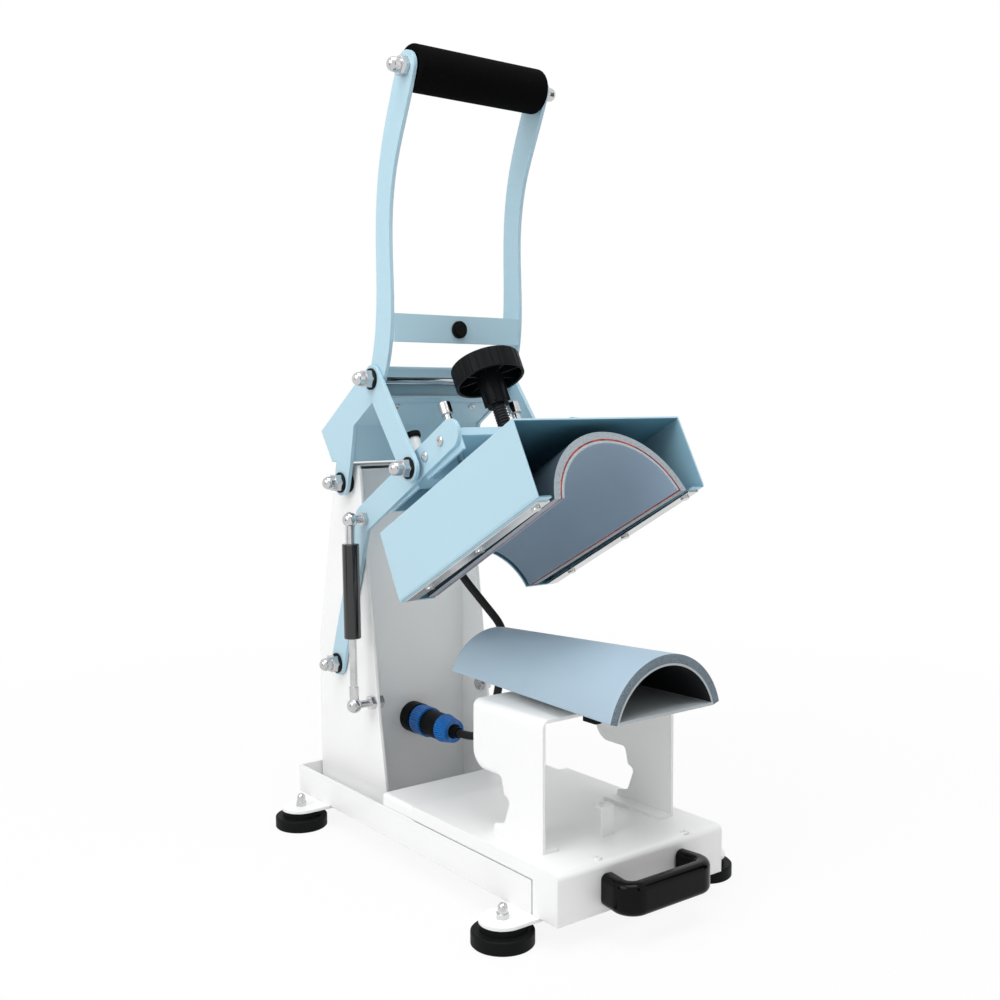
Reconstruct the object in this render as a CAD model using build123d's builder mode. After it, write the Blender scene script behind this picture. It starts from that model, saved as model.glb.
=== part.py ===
from build123d import *
import os
from math import atan2, cos, degrees, hypot, pi, radians, sin

# Shin guard heat press, in millimetres.
# Origin on the floor in the middle of the space the press takes, +X to the right, front towards -Y, +Z up.
# The press is drawn open: the heated cover is up and the lever stands upright.

# Driving dimensions of the base and its drawer
base_half_width = 100.0
bow_projection = 39.5
base_front = -228.5
base_back = 228.5
base_bottom = 22.0
base_sheet = 2.0
tray_front = -193.0
tray_wall_top = 52.0
deck_back = 52.0
deck_top = 64.2
drawer_back = -5.6
drawer_top = 66.7
drawer_skirt_bottom = 53.5
drawer_front_depth = 33.5
drawer_fold = 5.5
slide_gap = 0.5
runner_length = 60.0
runner_width = 14.0
runner_spacing = 60.0
drawer_travel = 125.0
foot_x = 123.5
foot_front_y = -183.3
foot_back_y = 181.0
foot_radius = 27.9
foot_bar_sheet = 3.0
foot_bar_width = 42.0
foot_stud_radius = 3.0
stud_radius = 4.0

# Driving dimensions of the tower, points are (y, z)
tower_outer = 73.0
tower_sheet = 3.0
tower_foot_front = (80.0, 24.0)
tower_kink_front = (97.9, 126.0)
tower_top_front = (133.0, 396.0)
tower_top_back = (182.0, 396.0)
tower_kink_back = (224.0, 195.0)
tower_web_y = 146.0
tower_corner_round = 8.0

# Pivots in the side view, (y, z)
arm_pivot = (175.9, 175.4)
lever_pivot = (154.5, 376.7)
toggle_top = (80.7, 486.1)
toggle_low = (13.2, 398.0)
spring_top = (112.0, 340.3)
spring_low = (108.3, 143.7)
axle_radius = 6.0
thread_gap = 0.1
running_gap = 0.05

# Sheets beside the tower, from the inside out, as distances from the middle
arm_inner = 74.5
arm_sheet = 4.0
lever_inner = 79.0
lever_sheet = 4.0
link_inner = 83.5
link_sheet = 4.0
washer_radius = 11.0
washer_thickness = 1.5
nut_flats = 17.0
spring_x = 97.0

# Arms
arm_screw_head = 2.2
arm_bend = (118.2, 338.9)
arm_tip = (-44.0, 432.5)
arm_low_width = 26.0
arm_top_width = 28.5
pivot_boss_radius = 14.0

# Lever and hood, (y, z)
hood_sheet = 2.0
bar_front_points = ((68.5, 479.0), (49.5, 546.0), (50.6, 632.5), (40.5, 694.0), (21.5, 738.0), (4.5, 776.5))
bar_back_points = ((32.5, 790.5), (50.9, 749.0), (68.1, 698.4), (75.8, 635.4), (77.6, 547.7), (93.0, 489.5))
hood_cheek = (
    (140.6, 374.0),
    (134.3, 396.2),
    (125.6, 438.1),
    (89.7, 460.7),
    (70.5, 476.5),
    (92.0, 500.5),
    (124.4, 479.3),
    (195.4, 431.4),
    (172.5, 398.1),
    (163.0, 399.5),
    (168.4, 374.0),
)
hood_front_points = ((80.0, 467.5), (90.5, 461.5), (126.5, 439.0), (135.2, 399.5))
hood_back_points = ((70.0, 488.0), (71.0, 499.0), (92.5, 499.5), (124.4, 478.6), (194.4, 431.0), (173.0, 400.0))
grip_axis = (18.4, 783.5)
grip_radius = 22.5
grip_half_length = 78.0
crossbar_front = 49.5
crossbar_low = 523.0
crossbar_high = 551.3

# Heated cover, drawn in the tilted press frame: x is across, y runs back down the slope, z is square to the cover
press_tilt = 28.2
cover_half_width = 100.0
cover_front = -359.8
cover_back = -115.0
cover_bottom = 240.5
cover_height = 74.5
cover_top = cover_bottom + cover_height
cover_sheet = 2.0
cover_hem = 15.0
cover_fold = 4.0
arch_front_half_width = 67.5
arch_back_half_width = 58.5
arch_front_rise = cover_height - 24
arch_back_rise = cover_height - 26
felt_thickness = 3.0
heater_thickness = 1.5
backing_thickness = 7.0
knob_y = -232.5
knob_lift = 119.5
knob_middle = cover_top + knob_lift
knob_radius = 35.8
knob_depth = 22.0
screw_radius = 7.5
screw_pitch = 3.0
guide_x = 43.0
guide_y = -204.0
guide_radius = 4.0
guide_head_z = cover_top + 86
bridge_lift = 25.0
bridge_bottom = cover_top + bridge_lift
bridge_top = bridge_bottom + 22
bridge_front = -252.0
bridge_back = -184.0
bridge_lip = 8.0
bridge_sheet = 3.0
brace_top = bridge_bottom + 26
brace_front = -166.0
brace_back = -106.0

# Lower platen on its stand
form_front = -255.5
form_back = -10.0
form_front_half_width = 66.0
form_back_half_width = 54.0
form_front_rise = 53.0
form_back_rise = 40.5
pad_thickness = 8.0
form_shell = 2.0
form_floor = 2.5
stand_half_width = 80.0
stand_sheet = 3.0
stand_top = 186.2
stand_fold = 8.0
spacer_height = 6.8
form_bottom = stand_top + spacer_height
spacer_spots = ((22.0, -105.0), (22.0, -161.0))
front_pad_at = (48.0, -213.0)

press_frame = Plane(
    origin=(0, 0, 0), x_dir=(1, 0, 0), z_dir=(0, sin(radians(press_tilt)), cos(radians(press_tilt)))
)
sides = (("left", -1), ("right", 1))
os.makedirs("parts", exist_ok=True)

# The places above are measured from the middle of the base, but the origin of the finished press is
# the middle of its whole floor space, which the bow handle of the drawer makes longer
bow_front = base_front - bow_projection
floor_shift = -(bow_front + base_back) / 2


def save(part, label):
    """Names a finished piece, moves it to the origin of the whole press and writes its file."""
    placed = part.moved(Location((0, floor_shift, 0)))
    placed.label = label
    export_step(placed, "parts/" + label + ".step")


def side_sketch_plane(side, inner, thickness):
    """Upright plane on which a side sheet starts, so that it grows by its thickness towards +X."""
    if side > 0:
        return Plane.YZ.offset(inner)
    return Plane.YZ.offset(-inner - thickness)


def facing_out(side, distance, at):
    """Plane square to X at a side-view point, facing away from the middle."""
    return Plane(origin=(side * distance, at[0], at[1]), x_dir=(0, 1, 0), z_dir=(side, 0, 0))


def both_sides(distance, at):
    """Places on the left and the right, square to X at a side-view point, facing away from the middle."""
    return Locations(*[facing_out(side, distance, at) for side in (-1, 1)])


def strip_between(a, b, width):
    """Adds a strip with round ends between two side-view points to the open sketch."""
    middle = ((a[0] + b[0]) / 2, (a[1] + b[1]) / 2)
    run = (b[0] - a[0], b[1] - a[1])
    with Locations(middle):
        SlotCenterToCenter(hypot(*run), width, rotation=degrees(atan2(run[1], run[0])))


def folded_sheet(points, thickness, half_width, radius, grow):
    """Sheet bent along a side-view line and as wide as twice its half width."""
    with BuildPart() as sheet:
        with BuildSketch(Plane.YZ.offset(-half_width)):
            with BuildLine():
                FilletPolyline(*points, radius=radius)
                offset(amount=thickness, side=grow)
            make_face()
        extrude(amount=2 * half_width)
    return sheet.part


def acorn_nut(flats, bore, hex_height, top_height):
    """Domed nut standing on its seat, open below for the end of its bolt."""
    with BuildPart() as nut:
        with BuildSketch():
            RegularPolygon(flats / 2, 6, major_radius=False)
        extrude(amount=hex_height)
        dome = flats * 0.42
        with BuildSketch(Plane.XY.offset(hex_height)):
            Circle(dome)
        extrude(amount=top_height - hex_height - dome)
        with Locations((0, 0, top_height - dome)):
            Sphere(dome)
        with BuildSketch():
            Circle(bore)
        extrude(amount=top_height - 4, mode=Mode.SUBTRACT)
    return nut.part


def button_screw(head_radius, head_height, shank_radius, shank_length):
    """Low round-headed screw, head above the seat and shank below it."""
    with BuildPart() as screw:
        with BuildSketch():
            Circle(head_radius)
        extrude(amount=head_height)
        fillet(screw.edges().group_by(Axis.Z)[-1], head_height * 0.8)
        with BuildSketch(Plane.XY.offset(head_height)):
            RegularPolygon(head_radius * 0.42, 6)
        extrude(amount=-head_height * 0.5, mode=Mode.SUBTRACT)
        if shank_length > 0:
            with BuildSketch():
                Circle(shank_radius)
            extrude(amount=-shank_length)
    return screw.part


def washer(outer, inner, thickness):
    """Flat ring standing on its seat."""
    with BuildPart() as ring:
        with BuildSketch():
            Circle(outer)
            Circle(inner, mode=Mode.SUBTRACT)
        extrude(amount=thickness)
    return ring.part


# Base tray: one open folded sheet that carries the tower and the deck
deck_outer = base_half_width - base_sheet - slide_gap
floor_top = base_bottom + base_sheet
tray_middle_y = (tray_front + base_back) / 2
tray_length = base_back - tray_front
foot_spots = [(x, y) for x in (-foot_x, foot_x) for y in (foot_front_y, foot_back_y)]
with BuildPart() as base_tray:
    with BuildSketch(Plane.XY.offset(base_bottom)):
        with Locations((0, tray_middle_y)):
            Rectangle(2 * base_half_width, tray_length)
    extrude(amount=tray_wall_top - base_bottom)
    with BuildSketch(Plane.XY.offset(floor_top)):
        with Locations((0, tray_middle_y - base_sheet / 2)):
            Rectangle(2 * (base_half_width - base_sheet), tray_length - base_sheet)
    extrude(amount=tray_wall_top, mode=Mode.SUBTRACT)
save(base_tray.part, "base_tray")

# Deck: inverted channel inside the tray, with the two slots that guide the drawer
slot_back = drawer_back - 0.4 + 2
slot_front = slot_back - drawer_travel - runner_length - 4
deck_front = slot_front - 2
deck_flange = 14.0
with BuildPart() as base_deck:
    with BuildSketch(Plane.XZ.offset(-deck_back)):
        with Locations((0, (floor_top + deck_top) / 2)):
            Rectangle(2 * deck_outer, deck_top - floor_top)
    extrude(amount=deck_back - deck_front)
    fillet(base_deck.edges().filter_by(Axis.Y).group_by(Axis.Z)[-1], 4)
    with BuildSketch(Plane.XZ.offset(-deck_back)):
        with Locations((0, (floor_top + base_sheet + deck_top - base_sheet) / 2)):
            Rectangle(2 * (deck_outer - base_sheet), deck_top - floor_top - 2 * base_sheet)
        with Locations((0, floor_top + base_sheet / 2)):
            Rectangle(2 * (deck_outer - deck_flange), base_sheet)
    extrude(amount=deck_back - deck_front, mode=Mode.SUBTRACT)
    slot_middle = (slot_front + slot_back) / 2
    with BuildSketch(Plane.XY.offset(deck_top)):
        with Locations((-runner_spacing, slot_middle), (runner_spacing, slot_middle)):
            Rectangle(runner_width + 2 * slide_gap, slot_back - slot_front)
    extrude(amount=-base_sheet, mode=Mode.SUBTRACT)
save(base_deck.part, "base_deck")

# Drawer: sliding tray with a deep wrapped front and short skirts over the deck
drawer_front_back = base_front + drawer_front_depth
tab_y = -184.0
tab_top = drawer_top + 28
tab_left = -10.5
with BuildPart() as drawer:
    with BuildSketch(Plane.XY.offset(drawer_skirt_bottom)):
        with Locations((0, (base_front + drawer_back) / 2)):
            Rectangle(2 * base_half_width, drawer_back - base_front)
    extrude(amount=drawer_top - drawer_skirt_bottom)
    with BuildSketch(Plane.XY.offset(base_bottom)):
        with Locations((0, (base_front + drawer_front_back) / 2)):
            Rectangle(2 * base_half_width, drawer_front_depth)
    extrude(amount=drawer_top - base_bottom)
    fillet(drawer.faces().sort_by(Axis.Z)[-1].edges().filter_by(Axis.X).sort_by(Axis.Y)[0], drawer_fold)
    with BuildSketch(Plane.XY.offset(base_bottom)):
        with Locations((0, (base_front + drawer_back + base_sheet) / 2)):
            Rectangle(2 * (base_half_width - base_sheet), drawer_back - base_front - base_sheet)
    extrude(amount=drawer_top - base_sheet - base_bottom, mode=Mode.SUBTRACT)
    with BuildSketch(Plane.YZ.offset(tab_left)):
        with BuildLine():
            FilletPolyline((tab_y, drawer_top - 1), (tab_y, tab_top), (tab_y + 12, tab_top), radius=3)
            offset(amount=base_sheet, side=Side.RIGHT)
        make_face()
    extrude(amount=15)
    with Locations((tab_left + 7.5, tab_y + 8, tab_top)):
        Hole(2.5, depth=3)
save(drawer.part, "drawer")

# Nylon runners that hang from the drawer through the deck slots, with a wider foot under the deck
runner_back = slot_back - 2
runner_middle = runner_back - runner_length / 2
drawer_under = drawer_top - base_sheet
runner_foot_top = deck_top - base_sheet - 0.3
with BuildPart() as drawer_runners:
    for x in (-runner_spacing, runner_spacing):
        with BuildSketch(Plane.XY.offset(runner_foot_top)):
            with Locations((x, runner_middle)):
                Rectangle(runner_width, runner_length)
        extrude(amount=drawer_under - runner_foot_top)
        with BuildSketch(Plane.XY.offset(runner_foot_top - 6)):
            with Locations((x, runner_middle)):
                Rectangle(runner_width + 14, runner_length)
        extrude(amount=6)
save(drawer_runners.part, "drawer_runners")

# Bow handle on the drawer front: a thick band with round corners and edges
bow_foot_x = 51.5
bow_splay = 6.0
bow_corner = bow_projection / 2
bow_band = 15.0
bow_edge_round = 6.0
bow_low = 28.0
bow_high = 57.0
with BuildPart() as drawer_handle:
    with BuildSketch(Plane.XY.offset(bow_low)):
        with BuildLine():
            FilletPolyline(
                (-bow_foot_x, base_front),
                (-bow_foot_x - bow_splay, bow_front),
                (bow_foot_x + bow_splay, bow_front),
                (bow_foot_x, base_front),
                radius=bow_corner,
            )
            offset(amount=bow_band, side=Side.LEFT)
        make_face()
    extrude(amount=bow_high - bow_low)
    with BuildSketch(Plane.XY.offset(bow_low)):
        with Locations((0, base_front + 10)):
            Rectangle(4 * bow_foot_x, 20)
    extrude(amount=bow_high - bow_low, mode=Mode.SUBTRACT)
    long_edges = drawer_handle.faces().filter_by(Axis.Z).edges() - drawer_handle.faces().sort_by(Axis.Y)[-2:].edges()
    fillet(long_edges, bow_edge_round)
save(drawer_handle.part, "drawer_handle")

# Feet: rubber discs on threaded studs, carried by two flat bars under the tray
foot_neck_radius = 20.5
foot_side = 12.4
foot_stud_bottom = 6.0
foot_height = base_bottom - foot_bar_sheet
with BuildPart() as foot_bars:
    for y in (foot_front_y, foot_back_y):
        with BuildSketch(Plane.XY.offset(base_bottom - foot_bar_sheet)):
            with Locations((0, y)):
                SlotCenterToCenter(2 * foot_x, foot_bar_width)
        extrude(amount=foot_bar_sheet)
    with Locations(*[(x, y, base_bottom) for x, y in foot_spots]):
        Hole(foot_stud_radius, depth=foot_bar_sheet)
save(foot_bars.part, "foot_bars")

with BuildPart() as one_foot:
    with BuildSketch(Plane.XZ):
        with BuildLine():
            Polyline(
                (0, 0),
                (foot_radius - 1, 0),
                (foot_radius, 1),
                (foot_radius, foot_side - 1),
                (foot_radius - 1, foot_side),
                (foot_neck_radius, foot_side),
                (foot_neck_radius, foot_height),
                (0, foot_height),
                close=True,
            )
        make_face()
    revolve(axis=Axis.Z)
    with Locations((0, 0, foot_height)):
        Hole(foot_stud_radius, depth=foot_height - foot_stud_bottom)
with BuildPart() as feet:
    with Locations(*foot_spots):
        add(one_foot.part)
save(feet.part, "feet")

stud_top = base_bottom + 8
with BuildPart() as foot_bolts:
    for spot in foot_spots:
        with BuildSketch(Plane.XY.offset(foot_stud_bottom)):
            with Locations(spot):
                Circle(foot_stud_radius)
        extrude(amount=stud_top - foot_stud_bottom)
    with Locations(*[(x, y, base_bottom) for x, y in foot_spots]):
        add(acorn_nut(10.5, foot_stud_radius + thread_gap, 4.5, 13.6))
save(foot_bolts.part, "foot_bolts")

# Tower side plates with their bolted bottom flanges
tower_inner = tower_outer - tower_sheet
for name, side in sides:
    with BuildPart() as tower_plate:
        with BuildSketch(side_sketch_plane(side, tower_inner, tower_sheet)) as outline:
            with BuildLine():
                Polyline(
                    tower_foot_front,
                    tower_kink_front,
                    tower_top_front,
                    tower_top_back,
                    tower_kink_back,
                    (tower_kink_back[0], floor_top),
                    close=True,
                )
            make_face()
            fillet(outline.vertices().group_by(Axis.Y)[-1].sort_by(Axis.X)[0], tower_corner_round)
            with Locations(arm_pivot, lever_pivot):
                Circle(axle_radius, mode=Mode.SUBTRACT)
            with Locations(spring_low):
                Circle(stud_radius, mode=Mode.SUBTRACT)
        extrude(amount=tower_sheet)
    save(tower_plate.part, "tower_plate_" + name)

# Front web: upright channel set back between the side plates
web_bottom = floor_top
web_top = tower_top_front[1] - 5
web_flange = 14.0
lead_z = 109.0
socket_radius = 13.5
with BuildPart() as tower_web:
    with BuildSketch(Plane.XY.offset(web_bottom)):
        with Locations((0, tower_web_y + web_flange / 2)):
            Rectangle(2 * tower_inner, web_flange)
        with Locations((0, tower_web_y + web_flange / 2 + base_sheet)):
            Rectangle(2 * (tower_inner - base_sheet), web_flange, mode=Mode.SUBTRACT)
    extrude(amount=web_top - web_bottom)
    with Locations(Plane(origin=(0, tower_web_y, lead_z), z_dir=(0, -1, 0))):
        Hole(socket_radius, depth=web_flange)
    with BuildSketch(Plane.YZ.offset(-tower_inner)):
        with Locations(lever_pivot):
            Circle(axle_radius)
    extrude(amount=2 * tower_inner, mode=Mode.SUBTRACT)
save(tower_web.part, "tower_web")

# Back cover: one sheet folded over the back and the top of the tower
power_y = tower_kink_back[0]
inlet_at = (-32.0, 92.0)
inlet_size = (48.0, 28.0)
switch_at = (34.0, 92.0)
switch_size = (27.0, 22.0)
back_half_width = tower_inner - 0.2
with BuildPart() as tower_back:
    with BuildSketch(Plane.YZ.offset(-back_half_width)):
        with BuildLine():
            FilletPolyline(
                (tower_kink_back[0], floor_top + 1),
                tower_kink_back,
                tower_top_back,
                (tower_top_front[0] + tower_corner_round + 2, tower_top_front[1]),
                radius=4,
            )
            offset(amount=base_sheet, side=Side.LEFT)
        make_face()
    extrude(amount=2 * back_half_width)
    with BuildSketch(Plane.XZ.offset(-power_y)):
        with Locations(inlet_at):
            Rectangle(*inlet_size)
        with Locations(switch_at):
            Rectangle(*switch_size)
    extrude(amount=base_sheet + 1, mode=Mode.SUBTRACT)
save(tower_back.part, "tower_back")

# Two long axles through the tower with their washers and domed nuts
lever_outer = lever_inner + lever_sheet
arm_outer = arm_inner + arm_sheet
link_outer = link_inner + link_sheet
arm_nut_seat = arm_outer + 0.3 + washer_thickness
lever_nut_seat = lever_outer + 0.3 + washer_thickness
pivot_nut = acorn_nut(nut_flats, axle_radius + thread_gap, 8.0, 20.0)
rod_head = button_screw(nut_flats / 2, 5.0, axle_radius, 0)
pivot_washer = washer(washer_radius, axle_radius, washer_thickness)


def nutted_rod(at, seat):
    """Long rod across the press at a side-view point, with a domed nut on its left and a low head on its right."""
    reach = seat + 11
    with BuildPart() as rod:
        with BuildSketch(Plane.YZ.offset(-reach)):
            with Locations(at):
                Circle(axle_radius)
        extrude(amount=reach + seat)
        with Locations(facing_out(-1, seat, at)):
            add(pivot_nut)
        with Locations(facing_out(1, seat, at)):
            add(rod_head)
    return rod.part


# Black washers outside, and sleeves that hold the lever sheets off the tower
lever_sleeve = washer(washer_radius, axle_radius, lever_inner - tower_outer - 0.3)
arm_sleeve = washer(washer_radius, axle_radius, arm_inner - tower_outer - 0.3)
with BuildPart() as axle_washers:
    for ring, distance, at in (
        (pivot_washer, arm_nut_seat - washer_thickness, arm_pivot),
        (pivot_washer, lever_nut_seat - washer_thickness, lever_pivot),
        (lever_sleeve, tower_outer, lever_pivot),
        (arm_sleeve, tower_outer, arm_pivot),
    ):
        with both_sides(distance, at):
            add(ring)
save(axle_washers.part, "axle_washers")

# Arms: bent flat bars outside the tower
arm_screw_radius = 3.0
arm_screw_spots = ((-29.2, 425.0), (-2.9, 409.5))
for name, side in sides:
    with BuildPart() as arm:
        with BuildSketch(side_sketch_plane(side, arm_inner, arm_sheet)):
            strip_between(arm_pivot, arm_bend, arm_low_width)
            strip_between(arm_bend, arm_tip, arm_top_width)
            with Locations(arm_pivot):
                Circle(axle_radius + running_gap, mode=Mode.SUBTRACT)
            with Locations(toggle_low):
                Circle(axle_radius, mode=Mode.SUBTRACT)
            if side < 0:
                with Locations(spring_top):
                    Circle(stud_radius, mode=Mode.SUBTRACT)
            with Locations(*arm_screw_spots):
                Circle(arm_screw_radius, mode=Mode.SUBTRACT)
        extrude(amount=arm_sheet)
    save(arm.part, "arm_" + name)


def press_channel(front, back, bottom, top):
    """Channel across the arms, open below, drawn in the press frame."""
    with BuildPart(press_frame) as channel:
        middle = ((front + back) / 2, (bottom + top) / 2)
        with Locations((0, middle[0], middle[1])):
            Box(2 * arm_inner, back - front, top - bottom)
        with Locations((0, middle[0], middle[1] - bridge_sheet / 2)):
            Box(
                2 * (arm_inner - bridge_sheet),
                back - front - 2 * bridge_sheet,
                top - bottom - bridge_sheet,
                mode=Mode.SUBTRACT,
            )
    return channel.part


# Front bridge that holds the pressure nut, and the brace behind it
nut_radius = 16.0
post_x = 54.0
post_y = -152.5
with BuildPart() as arm_bridges:
    add(press_channel(bridge_front, bridge_back, bridge_bottom, bridge_top))
    with Locations(press_frame * Location((0, bridge_front, bridge_bottom))):
        Box(
            2 * (arm_inner - bridge_sheet),
            bridge_sheet,
            bridge_top - bridge_bottom - bridge_lip,
            align=(Align.CENTER, Align.MIN, Align.MIN),
            mode=Mode.SUBTRACT,
        )
    with Locations(press_frame * Location((0, knob_y, bridge_top))):
        Hole(nut_radius, depth=bridge_sheet)
    with Locations(*[press_frame * Location((x, guide_y, bridge_top)) for x in (-guide_x, guide_x)]):
        Hole(guide_radius + running_gap, depth=bridge_sheet)
    with Locations(*[facing_out(side, arm_inner, at) for side in (-1, 1) for at in arm_screw_spots]):
        Hole(arm_screw_radius, depth=bridge_sheet)
    add(press_channel(brace_front, brace_back, bridge_bottom, brace_top))
save(arm_bridges.part, "arm_bridges")

with BuildPart() as arm_screws:
    arm_screw = button_screw(5.2, arm_screw_head, arm_screw_radius, arm_sheet + bridge_sheet)
    with Locations(*[facing_out(side, arm_outer, at) for side in (-1, 1) for at in arm_screw_spots]):
        add(arm_screw)

# Threaded collar in the bridge for the pressure screw
with BuildPart(press_frame.offset(bridge_top - 20)) as pressure_nut:
    with Locations((0, knob_y, 10)):
        Cylinder(nut_radius, 20)
    with Locations((0, knob_y, 21.5)):
        Cylinder(nut_radius + 4, 3)
    with Locations((0, knob_y, 11.5)):
        Cylinder(screw_radius + running_gap, 23, mode=Mode.SUBTRACT)
save(pressure_nut.part, "pressure_nut")

# Stop posts with rubber caps on the brace
post_height = 35.0
with BuildPart() as stop_posts:
    for x in (-post_x, post_x):
        with BuildSketch(press_frame.offset(brace_top)):
            with Locations((x, post_y)):
                Circle(8.5)
        with BuildSketch(press_frame.offset(brace_top + post_height)):
            with Locations((x, post_y)):
                Circle(6.0)
        loft()
save(stop_posts.part, "stop_posts")
with BuildPart() as stop_caps:
    for x in (-post_x, post_x):
        with BuildSketch(press_frame.offset(brace_top + post_height)):
            with Locations((x, post_y)):
                Circle(8.5)
        extrude(amount=6)
    fillet(stop_caps.edges().filter_by(GeomType.CIRCLE), 1.5)
save(stop_caps.part, "stop_caps")

# Lever side sheets: hood side and handle bar in one piece
for name, side in sides:
    with BuildPart() as lever:
        with BuildSketch(side_sketch_plane(side, lever_inner, lever_sheet)):
            with BuildLine():
                Polyline(*hood_cheek, close=True)
            make_face()
            with BuildLine():
                front_edge = Spline(*bar_front_points)
                tip_edge = Line(bar_front_points[-1], bar_back_points[0])
                back_edge = Spline(*bar_back_points)
                foot_edge = Line(bar_back_points[-1], bar_front_points[0])
            make_face()
            with Locations(grip_axis):
                Circle(15.5)
            with Locations(lever_pivot, toggle_top):
                Circle(pivot_boss_radius)
            with Locations(lever_pivot):
                Circle(axle_radius + running_gap, mode=Mode.SUBTRACT)
            with Locations(toggle_top, grip_axis):
                Circle(axle_radius, mode=Mode.SUBTRACT)
        extrude(amount=lever_sheet)
    save(lever.part, "lever_" + name)

# Hood sheets between the lever sides
hood_half_width = lever_inner
hood_bend = 3.0
hood_lip_back = hood_front_points[1]
hood_panel_top = 484.0
with BuildPart() as hood_front:
    add(folded_sheet(hood_front_points, hood_sheet, hood_half_width, hood_bend, Side.LEFT))
    with Locations((0, hood_lip_back[0], hood_lip_back[1])):
        Box(
            2 * hood_half_width,
            hood_sheet,
            hood_panel_top - hood_lip_back[1],
            align=(Align.CENTER, Align.CENTER, Align.MIN),
        )
save(hood_front.part, "hood_front")
save(folded_sheet(hood_back_points, hood_sheet, hood_half_width, hood_bend, Side.RIGHT), "hood_back")

# Toggle rod across the lever, its nuts and the lever crossbar
toggle_seat = link_outer + 0.3 + washer_thickness
save(nutted_rod(toggle_top, toggle_seat), "toggle_rod")
with BuildPart() as toggle_washers:
    with both_sides(toggle_seat - washer_thickness, toggle_top):
        add(pivot_washer)
save(toggle_washers.part, "toggle_washers")

with BuildPart() as crossbar:
    with Locations((0, crossbar_front + 2, (crossbar_low + crossbar_high) / 2)):
        Box(2 * lever_inner, 4, crossbar_high - crossbar_low)
save(crossbar.part, "crossbar")

with BuildPart() as crossbar_bumper:
    bumper_face = Plane(origin=(0, crossbar_front, (crossbar_low + crossbar_high) / 2), z_dir=(0, -1, 0))
    with BuildSketch(bumper_face):
        Circle(9.0)
    extrude(amount=2.2)
    with BuildSketch(bumper_face.offset(2.2)):
        Circle(6.5)
    extrude(amount=1.8)
save(crossbar_bumper.part, "crossbar_bumper")

# Grip: steel tube between the lever bars with a foam sleeve, held by a long bolt
grip_tube_radius = 14.0
with BuildPart() as grip_core:
    with BuildSketch(Plane.YZ.offset(-lever_outer - 11)):
        with Locations(grip_axis):
            Circle(axle_radius)
    extrude(amount=2 * (lever_outer + 11))
    with BuildSketch(Plane.YZ.offset(-lever_inner)):
        with Locations(grip_axis):
            Circle(grip_tube_radius)
    extrude(amount=2 * lever_inner)
    with both_sides(lever_outer, grip_axis):
        add(pivot_nut)
save(grip_core.part, "grip_core")

with BuildPart() as grip_foam:
    with BuildSketch(Plane.YZ.offset(-grip_half_length)):
        with Locations(grip_axis):
            Circle(grip_radius)
            Circle(grip_tube_radius, mode=Mode.SUBTRACT)
    extrude(amount=2 * grip_half_length)
    fillet(grip_foam.edges().filter_by(GeomType.CIRCLE).filter_by(lambda e: e.radius > 20), 3)
save(grip_foam.part, "grip_foam")

# Toggle links outside the lever sides
with BuildPart() as links:
    for name, side in sides:
        with BuildSketch(side_sketch_plane(side, link_inner, link_sheet)):
            strip_between(toggle_top, toggle_low, 2 * pivot_boss_radius)
            with Locations(toggle_top):
                Circle(axle_radius + running_gap, mode=Mode.SUBTRACT)
            with Locations(toggle_low):
                Circle(axle_radius, mode=Mode.SUBTRACT)
        extrude(amount=link_sheet)
save(links.part, "links")

# Pivot bolts at the low end of the links: they stop just short of the arms
link_pin_inner = arm_outer + arm_screw_head + 0.5
with BuildPart() as link_bolts:
    for side in (-1, 1):
        with BuildSketch(facing_out(side, link_pin_inner, toggle_low)):
            Circle(axle_radius)
        extrude(amount=link_outer + 12 - link_pin_inner)
        with BuildSketch(facing_out(side, link_pin_inner, toggle_low)):
            Circle(washer_radius)
        extrude(amount=link_inner - link_pin_inner)
    with both_sides(link_outer + washer_thickness, toggle_low):
        add(pivot_nut)
save(link_bolts.part, "link_bolts")
with BuildPart() as link_washers:
    with both_sides(link_outer, toggle_low):
        add(pivot_washer)
save(link_washers.part, "link_washers")

# Gas spring on the left: its rod is hinged on the tower, its tube on the arm
spring_run = Vector(0, spring_top[0] - spring_low[0], spring_top[1] - spring_low[1])
spring_length = spring_run.length
spring_rod_radius = 4.0
spring_tube_radius = 9.0
spring_cup_radius = 8.0
spring_neck_radius = 5.0
spring_neck_length = 20.0
tube_top_gap = 25.0
tube_length = 100.0
tube_cap = 6.0
rod_inside = 28.0
tube_start = spring_length - tube_top_gap - tube_length
spring_frame = Plane(origin=(-spring_x, spring_low[0], spring_low[1]), x_dir=(1, 0, 0), z_dir=spring_run)
eye_start = spring_x - spring_cup_radius - 1
eye_depth = 2 * spring_cup_radius - 2

with BuildPart() as spring_rod:
    with Locations(spring_frame):
        Sphere(spring_cup_radius)
    with BuildSketch(spring_frame):
        Circle(spring_neck_radius)
    extrude(amount=spring_neck_length)
    with BuildSketch(spring_frame):
        Circle(spring_rod_radius)
    extrude(amount=tube_start + rod_inside)
    with BuildSketch(facing_out(-1, eye_start, spring_low)):
        Circle(stud_radius + running_gap)
    extrude(amount=eye_depth, mode=Mode.SUBTRACT)
save(spring_rod.part, "spring_rod")

with BuildPart() as spring_tube:
    with BuildSketch(spring_frame.offset(tube_start)):
        Circle(spring_tube_radius)
    extrude(amount=tube_length)
    fillet(spring_tube.edges().filter_by(GeomType.CIRCLE), 1.2)
    with BuildSketch(spring_frame.offset(tube_start)):
        Circle(spring_rod_radius + running_gap)
    extrude(amount=tube_length - tube_cap, mode=Mode.SUBTRACT)
save(spring_tube.part, "spring_tube")

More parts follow.
